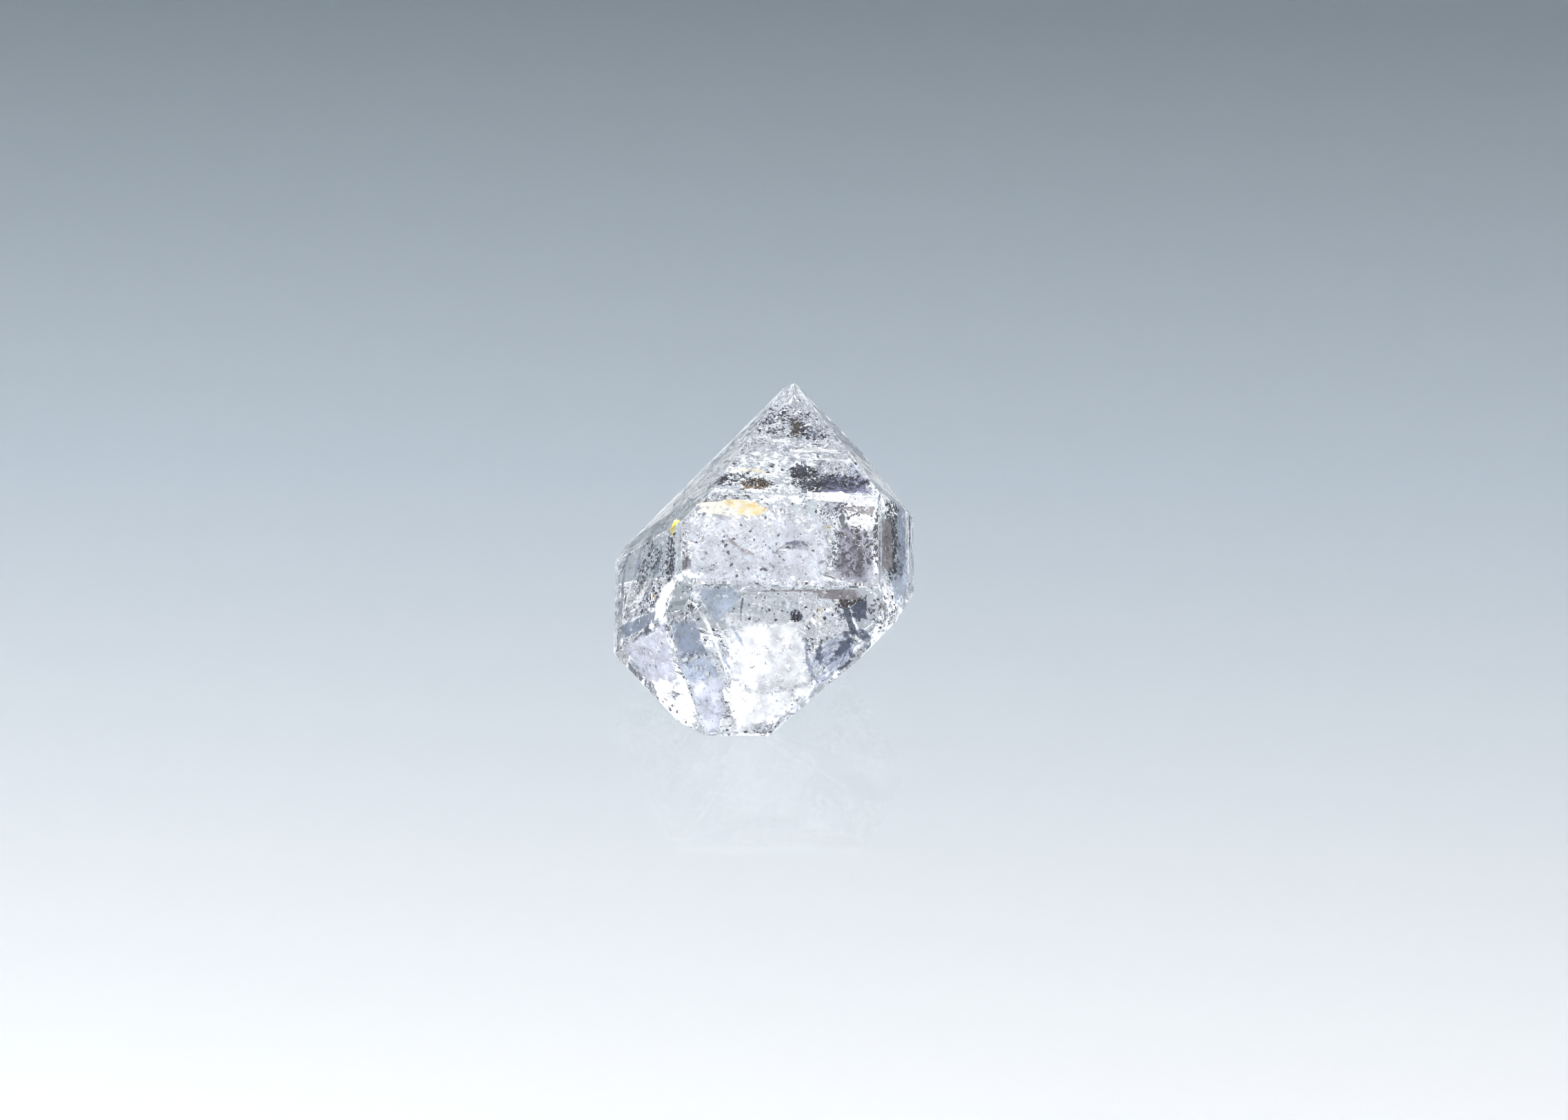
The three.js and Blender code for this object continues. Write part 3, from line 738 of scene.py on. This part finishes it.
# a pane has its corners, in the crystal's axes in mm, and its seed; a strip has its path, its half
# width, the face it lies behind, and its seed
cracks = [
    (grey, pane(
        [(-3.2, -5.58, -3.55), (-1.62, -5.63, -3.48), (-1.43, -5.31, -3.89), (-2.46, -4.64, -4.75)], 601
    )),
    (slate, pane(
        [(-4.3, -4.66, -4.72), (-3.28, -4.67, -4.71), (-2.7, -3.76, -5.86), (-3.95, -3.69, -5.95)], 602
    )),
    (grey, pane(
        [(-3.9, -3.56, -6.12), (-2.64, -3.7, -5.93), (-2.15, -3.19, -6.58), (-3.5, -3.04, -6.77)], 603
    )),
    (lilac, pane(
        [(-3.45, -3.01, -6.82), (-2.03, -3.15, -6.63), (-2.15, -1.64, -8.5), (-2.7, -1.59, -8.55)], 604
    )),
    (mauve, pane(
        [(-6.0, -1.64, -4.75), (-4.5, -4.25, -4.85), (-3.75, -2.69, -6.78), (-5.14, -1.36, -6.06)], 605
    )),
    (slate, pane([(-6.2, -1.3, -4.4), (-6.2, -1.3, -3.8), (-4.45, -4.36, -4.1), (-4.35, -4.5, -4.6)], 606)),
    (slate, strip([(-5.9, -1.5, -5.35), (-5.5, -1.5, -5.75), (-5.0, -1.9, -6.0)], 0.2, l5, 607)),
    (white, strip([(-5.57, -2.51, -3.44), (-5.34, -2.9, -2.85), (-4.89, -3.69, -2.42)], 0.2, m5, 608)),
    (white, strip([(-6.0, -1.8, -2.9), (-5.8, -2.1, -2.2), (-5.5, -2.6, -1.8)], 0.1, m5, 609)),
    (dark, pane([(2.87, -4.9, -4.42), (3.6, -5.3, -3.95), (3.97, -5.48, -3.68), (3.99, -4.83, -4.5)], 610)),
    (dark, strip([(0.5, -5.7, -1.6), (1.08, -5.7, -1.56), (1.66, -5.7, -1.62)], 0.11, m0, 611)),
    (umber, strip([(-2.16, -5.7, -0.98), (-1.63, -5.7, -1.67), (-0.77, -5.7, -2.13)], 0.1, m0, 612)),
    (umber, strip([(0.02, -5.7, -2.12), (0.25, -5.7, -1.83), (0.55, -5.7, -1.64)], 0.04, m0, 613)),
    (dark, strip(
        [(3.05, -4.28, -5.12), (3.66, -4.4, -4.96), (4.08, -4.14, -5.3), (3.83, -3.79, -5.74)], 0.19, l0, 614
    )),
    (dark, strip([(2.52, -3.59, -6.0), (3.03, -3.94, -5.55), (3.4, -4.27, -5.14)], 0.18, l0, 615)),
    (dark, strip([(2.79, -3.36, -6.28), (3.4, -3.6, -5.98), (3.27, -3.87, -5.65)], 0.16, l0, 616)),
    (dark, strip([(2.14, -4.2, -5.22), (2.01, -3.82, -5.71), (2.22, -3.43, -6.17)], 0.15, l0, 617)),
    (slate, strip([(1.47, -4.12, -5.33), (1.58, -3.54, -6.06), (2.01, -2.99, -6.75)], 0.12, l0, 618)),
    (white, strip([(1.25, -3.3, 3.7), (2.1, -3.35, 3.65), (3.0, -3.45, 3.5)], 0.19, u0, 619)),
    (white, strip([(1.1, -3.8, 3.05), (2.2, -3.8, 3.05), (3.4, -3.9, 2.92)], 0.14, u0, 634)),
    (violet, pane([(2.25, -4.56, 2.1), (4.0, -4.7, 1.92), (4.2, -5.5, 0.9), (2.25, -5.5, 0.9)], 635)),
    (brown, strip([(-1.42, -5.5, 0.85), (-0.9, -5.35, 1.05), (-0.33, -5.5, 0.88)], 0.14, u0, 636)),
    (cream, strip([(-1.85, -4.6, 2.05), (-1.0, -4.45, 2.25), (-0.3, -4.6, 2.05)], 0.22, u0, 637)),
    (mauve, strip([(-2.6, -5.35, 1.1), (-1.95, -5.4, 1.0), (-1.35, -5.4, 1.0)], 0.14, u0, 638)),
    (dark, strip([(1.85, -2.35, 4.95), (1.9, -2.5, 4.75), (1.87, -2.7, 4.45)], 0.1, u0, 639)),
    (dark, strip([(1.7, -3.05, 4.05), (1.97, -3.05, 4.07), (2.3, -3.1, 4.0)], 0.06, u0, 640)),
    (slate, strip([(-5.48, -2.87, -0.6), (-5.7, -2.49, -1.73), (-5.98, -2.0, -2.5)], 0.1, m5, 641)),
    (slate, strip([(-4.61, -4.37, -1.18), (-4.89, -3.89, -2.26), (-5.31, -3.16, -2.94)], 0.13, m5, 642)),
    (slate, strip([(-6.0, -1.97, -0.57), (-6.2, -1.5, -1.95), (-6.25, -1.4, -3.5)], 0.1, m5, 643)),
    (white, strip([(-3.6, -5.4, -4.0), (-2.72, -4.68, -4.94), (-1.82, -3.16, -6.87)], 0.08, l0, 644)),
    (white, strip([(-3.1, -5.4, -4.0), (-2.35, -4.74, -4.86), (-1.37, -3.7, -6.18)], 0.06, l0, 645)),
    (grey, strip([(-2.62, -4.3, -5.42), (-2.1, -3.85, -6.0), (-1.75, -3.5, -6.45)], 0.08, l0, 646)),
    (grey, strip([(-1.76, -4.74, -4.86), (-1.4, -4.35, -5.35), (-1.15, -4.1, -5.65)], 0.07, l0, 647)),
    (dark, strip([(-1.25, -5.55, -3.8), (-1.33, -5.22, -4.25), (-1.35, -4.84, -4.73)], 0.05, l0, 648)),
    (slate, strip([(-2.7, -1.96, -8.3), (-2.5, -1.75, -8.55), (-2.24, -1.72, -8.6)], 0.12, l0, 649)),
    (umber, strip([(4.5, -5.3, -3.9), (4.7, -4.9, -4.2), (4.75, -4.5, -4.5)], 0.13, m1, 650)),
    (white, strip([(1.7, -5.7, 0.48), (2.9, -5.7, 0.42), (4.4, -5.7, 0.35)], 0.13, m0, 620)),
    (white, strip([(3.1, -5.7, -0.56), (3.84, -5.7, -0.6), (4.4, -5.7, -0.62)], 0.1, m0, 621)),
    (umber, pane([(2.9, -5.6, 0.12), (4.3, -5.6, 0.16), (4.26, -5.6, -0.27), (3.2, -5.6, -0.06)], 622)),
    (umber, strip([(-1.0, -5.54, -3.6), (1.3, -5.58, -3.55), (3.7, -5.62, -3.5)], 0.05, l0, 623)),
    (umber, pane([(1.7, -5.58, -3.55), (3.6, -5.62, -3.5), (3.6, -5.35, -3.85), (2.0, -5.38, -3.8)], 629)),
    (plum, pane([(2.9, -5.75, -0.7), (4.25, -5.75, -0.7), (4.25, -5.75, -3.1), (2.6, -5.75, -3.1)], 630)),
    (snow, pane([(-1.9, -4.95, -4.9), (1.1, -4.95, -4.9), (1.7, -3.0, -7.3), (-1.5, -1.75, -8.85)], 631)),
    (mist, pane([(-3.6, -5.75, -0.4), (-0.2, -5.75, -0.5), (-0.2, -5.75, -3.3), (-3.4, -5.75, -3.3)], 632)),
    (mist, pane([(-0.2, -5.75, -0.3), (2.3, -5.75, -0.6), (2.2, -5.75, -3.3), (-0.2, -5.75, -3.3)], 633)),
    (umber, pane([(4.38, -5.45, -0.25), (4.85, -4.63, -0.03), (4.85, -4.63, -2.3), (4.4, -5.42, -2.6)], 624)),
    (dark, strip([(5.7, -3.15, 1.2), (5.7, -3.15, 0.28), (5.7, -3.15, -0.9)], 0.09, m1, 625)),
    (slate, pane([(5.14, -4.15, 1.03), (5.5, -3.5, 1.11), (5.5, -3.5, -1.9), (5.13, -4.18, -2.2)], 626)),
    (grey, pane([(4.84, -4.68, -2.52), (5.6, -3.3, -2.0), (5.45, -3.58, -3.8), (4.99, -4.41, -3.77)], 627)),
    (white, strip([(4.45, -5.4, -2.7), (4.63, -5.08, -3.3), (4.98, -4.46, -3.75)], 0.12, m1, 628)),
]
sheets, tones = [], []
for tone, (places, cover) in cracks:
    gap = distances[:18] - places @ normals[:18].T
    nearest = gap.mean((0, 1)).argmin()
    depth = depths.get(tone, usual_depth)
    places = places + (gap[..., nearest].mean() - depth) * normals[nearest]
    for normal, distance in zip(normals, distances):
        past = np.maximum(least_depth - distance + places @ normal, 0)
        places = places - past[..., None] * normal
    sheets.append((places.reshape(-1, 3), grid_faces(*places.shape[:2])))
    cover = np.minimum(cover * covers.get(tone, usual_cover), 1)
    tones.append(np.concatenate([np.broadcast_to(tone, places.shape), cover[..., None]], -1).reshape(-1, 4))
inner = walled(closed_piece("inner_cracks", sheets))
stored = inner.data.attributes.new("tone", "FLOAT_COLOR", "POINT")
stored.data.foreach_set("color", np.concatenate(tones).ravel())
break_face = bpy.data.materials.new("inner cracks, painted reflections and glow")
start = empty_tree(break_face)
place = start.node("ShaderNodeTexCoord", out=3)
tone = start.node("ShaderNodeAttribute", {"attribute_name": "tone"}, out=0)
reach = start.node("ShaderNodeAttribute", {"attribute_name": "tone"}, out=3)
fine_gaps = {"Vector": place, "Scale": 3600.0, "Detail": 5.0, "Roughness": 0.7}
gaps = start.node("ShaderNodeTexNoise", {}, fine_gaps)
shades = start.node("ShaderNodeTexNoise", {}, {"Vector": place, "Scale": 1300.0, "Detail": 4.0})
shade = start.node("ShaderNodeVectorMath", {"operation": "SCALE"}, {0: tone, 3: shades * 1.6 + 0.2})
# the tone goes into both colour and glow: painted reflections, and a painted light at 0.3 of its strength,
# with a little real mirroring from Metallic 0.5
face = start.node(
    "ShaderNodeBsdfPrincipled",
    inputs={
        "Base Color": shade,
        "Roughness": 0.4,
        "Metallic": 0.5,
        "Emission Color": shade,
        "Emission Strength": 0.3,
        "Alpha": start.node("ShaderNodeClamp", inputs={0: (gaps - 0.35) * 5.0}) * reach * 0.95,
    },
)
start.node("ShaderNodeOutputMaterial", inputs={"Surface": face})
inner.data.materials.append(break_face)
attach(inner, "root")
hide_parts("quartz_crystal")

# The dark grains: flecks of black and brown carbon caught in the quartz while it grew. They lie in
# loose clouds, thickest under the upper right faces, and some of them drawn out along the prism. Each
# cloud has its middle and spread in the crystal's axes in mm, its count and its seed.
grain_clouds = [
    ((2.5, -4.8, 1.45), (1.7, 0.5, 0.8), 1300, 401),
    ((1.9, -2.2, 4.9), (0.8, 0.6, 0.6), 120, 403),
    ((1.3, -4.1, 2.1), (0.7, 0.35, 0.5), 420, 404),
    ((-0.6, -5.6, -1.9), (3.2, 0.12, 1.6), 150, 421),
    ((3.4, -5.3, -1.8), (0.9, 0.45, 1.3), 620, 405),
    ((-4.1, -4.7, -2.0), (0.3, 0.5, 1.2), 260, 420),
    ((1.0, -5.5, -1.7), (0.6, 0.1, 0.05), 70, 406),
    ((0.2, -5.4, -1.95), (0.35, 0.1, 0.1), 20, 407),
    ((-1.5, -5.4, -1.6), (0.85, 0.2, 0.6), 40, 408),
    ((5.0, -4.3, -0.9), (0.7, 1.2, 2.0), 1900, 409),
    ((3.3, -4.7, -4.0), (0.85, 0.5, 0.65), 120, 410),
    ((1.02, -4.85, -4.45), (0.27, 0.1, 0.3), 110, 411),
    ((-5.0, -3.2, -2.2), (1.0, 1.4, 1.8), 600, 412),
    ((-4.7, -2.3, -5.6), (0.9, 0.8, 0.9), 110, 413),
    ((-3.0, -3.7, -5.6), (1.0, 0.6, 1.0), 40, 414),
    ((-1.9, -4.6, 1.5), (1.2, 0.4, 0.45), 260, 415),
    ((4.6, -4.2, -3.9), (0.6, 0.6, 0.7), 90, 416),
    ((0.6, -1.0, 5.6), (1.5, 1.0, 1.2), 450, 417),
    ((2.9, -5.2, 0.1), (1.2, 0.4, 0.4), 120, 419),
    ((0.0, -1.0, 0.0), (5.0, 4.5, 7.5), 900, 418),
]
brown_clouds = [
    ((1.1, -1.8, 5.4), (0.35, 0.5, 1.0), 230, 441),
    ((-0.65, -4.95, 1.3), (0.7, 0.25, 0.42), 330, 442),
    ((3.4, -4.9, -3.75), (0.6, 0.3, 0.3), 60, 443),
]


def cloud(middle, spread, count, seed):
    """Places spread evenly in an ellipsoid, middle + spread * p, kept where a noise runs high."""
    scatter = np.random.default_rng(seed)
    p = scatter.uniform(-1, 1, (count * 3, 3))
    noise = lattice_noise(p[:, 0] * 5 + 9, p[:, 2] * 5 + 9 + 2 * p[:, 1], seed)
    p = p[((p * p).sum(1) < 1) & (noise > scatter.uniform(-1.1, 0.5, len(p)))][:count]
    return middle + np.array(spread) * p


for name, clouds, stops, seed in (
    ("dark_grains", grain_clouds, [(0.35, (0.015, 0.015, 0.022, 1)), (0.65, (0.2, 0.19, 0.28, 1))], 420),
    ("brown_grains", brown_clouds, [(0.35, (0.03, 0.018, 0.01, 1)), (0.65, (0.32, 0.2, 0.1, 1))], 440),
):
    places = np.concatenate([cloud(*values) for values in clouds])
    outside_pale_corner = (places[:, 2] > -6.2) | (places[:, 0] > -2.2)
    places = places[sealed_in(places, clearance=0.15) & outside_pale_corner]
    scatter = np.random.default_rng(seed)
    radii = mixed_radii(scatter, len(places), typical=0.048, smallest=0.02, largest=0.13)
    axes = scatter.normal(size=(len(places), 3))
    grains = flecks(name, places, axes, radii, thickness=0.6, sides=5, tilt=0.0, seed=seed + 1)
    carbon = bpy.data.materials.new(name.replace("_", " "))
    start = empty_tree(carbon)
    place = start.node("ShaderNodeTexCoord", out=3)
    spot = start.node("ShaderNodeTexNoise", {}, {"Vector": place, "Scale": 2500.0})
    tone = start.node("ShaderNodeValToRGB", {"stops": stops}, {0: spot})
    face = start.node("ShaderNodeBsdfPrincipled", inputs={"Base Color": tone, "Roughness": 0.35})
    start.node("ShaderNodeOutputMaterial", inputs={"Surface": face})
    grains.data.materials.append(carbon)
    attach(grains, "root")
    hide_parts("quartz_crystal")


# The iron stain: a thin golden film on an inner crack under the front prism face, and a yellow crumb
# at its left edge. Both glow a little in the stain's own colour, a painted light.
def film(name, middle, across, up, bow, seed):
    """A thin curved sheet on a grid of u and v from -1 to 1: middle + u across + v up + h n, where
    h = bow (u^2 + v^2) plus a fine noise, shrunk to an uneven outline, and closed by a wall."""
    rows, columns = 60, 40
    u, v = np.meshgrid(np.linspace(-1, 1, rows), np.linspace(-1, 1, columns), indexing="ij")
    middle, across, up = map(np.array, (middle, across, up))
    normal = np.cross(across, up)
    normal = normal / np.linalg.norm(normal)
    turn = np.arctan2(v, u)
    reach = 0.8 + 0.2 * lattice_noise(np.cos(turn) * 2.5 + 9, np.sin(turn) * 2.5 + 9, seed)
    round_u, round_v = u * np.sqrt(1 - v * v / 2) * reach, v * np.sqrt(1 - u * u / 2) * reach
    h = bow * (u * u + v * v) + 0.03 * lattice_noise(u * 6 + 20, v * 6 + 20, seed + 1)
    points = middle + round_u[..., None] * across + round_v[..., None] * up + h[..., None] * normal
    return walled(new_piece(name, points.reshape(-1, 3), grid_faces(rows, columns)))


amber, ochre = (0.95, 0.68, 0.2, 1), (0.72, 0.6, 0.05, 1)
for name, middle, across, up, paling, deepening, deepest, seed in (
    ("golden_film", (-1.85, -5.5, 0.08), (1.75, 0.15, 0), (0, -0.1, 0.45), 0.18, 0, amber, 501),
    ("golden_crumb", (-4.12, -5.0, -0.62), (0.2, -0.14, 0), (0.03, 0, 0.45), 0, 0.2, ochre, 503),
):
    golden = bpy.data.materials.new(name.replace("_", " "))
    start = empty_tree(golden)
    place = start.node("ShaderNodeTexCoord", out=3)
    mottle = start.node("ShaderNodeTexNoise", {}, {"Vector": place, "Scale": 2600.0, "Detail": 4.0})
    along = start.node("ShaderNodeSeparateXYZ", inputs={0: place}) * 1000
    tone = start.node(
        "ShaderNodeValToRGB",
        {"stops": [(0.35, deepest), (0.7, (1.0, 0.96, 0.86, 1)), (0.5, (1.0, 0.86, 0.52, 1))]},
        {0: mottle - (along + 0.6) * paling - deepening},
    )
    lace = start.node("ShaderNodeTexNoise", {}, {"Vector": place, "Scale": 1500.0, "Detail": 3.0})
    # the stain's own colour, which also glows at 0.33 of its strength, a painted light
    face = start.node(
        "ShaderNodeBsdfPrincipled",
        inputs={
            "Base Color": tone,
            "Roughness": 0.45,
            "Alpha": start.node("ShaderNodeClamp", inputs={0: (lace - 0.33) * 5.0}),
            "Emission Color": tone,
            "Emission Strength": 0.33,
        },
    )
    start.node("ShaderNodeOutputMaterial", inputs={"Surface": face})
    stain = film(name, middle, across, up, bow=0.05, seed=seed)
    stain.data.materials.append(golden)
    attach(stain, "root")
    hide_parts("quartz_crystal")
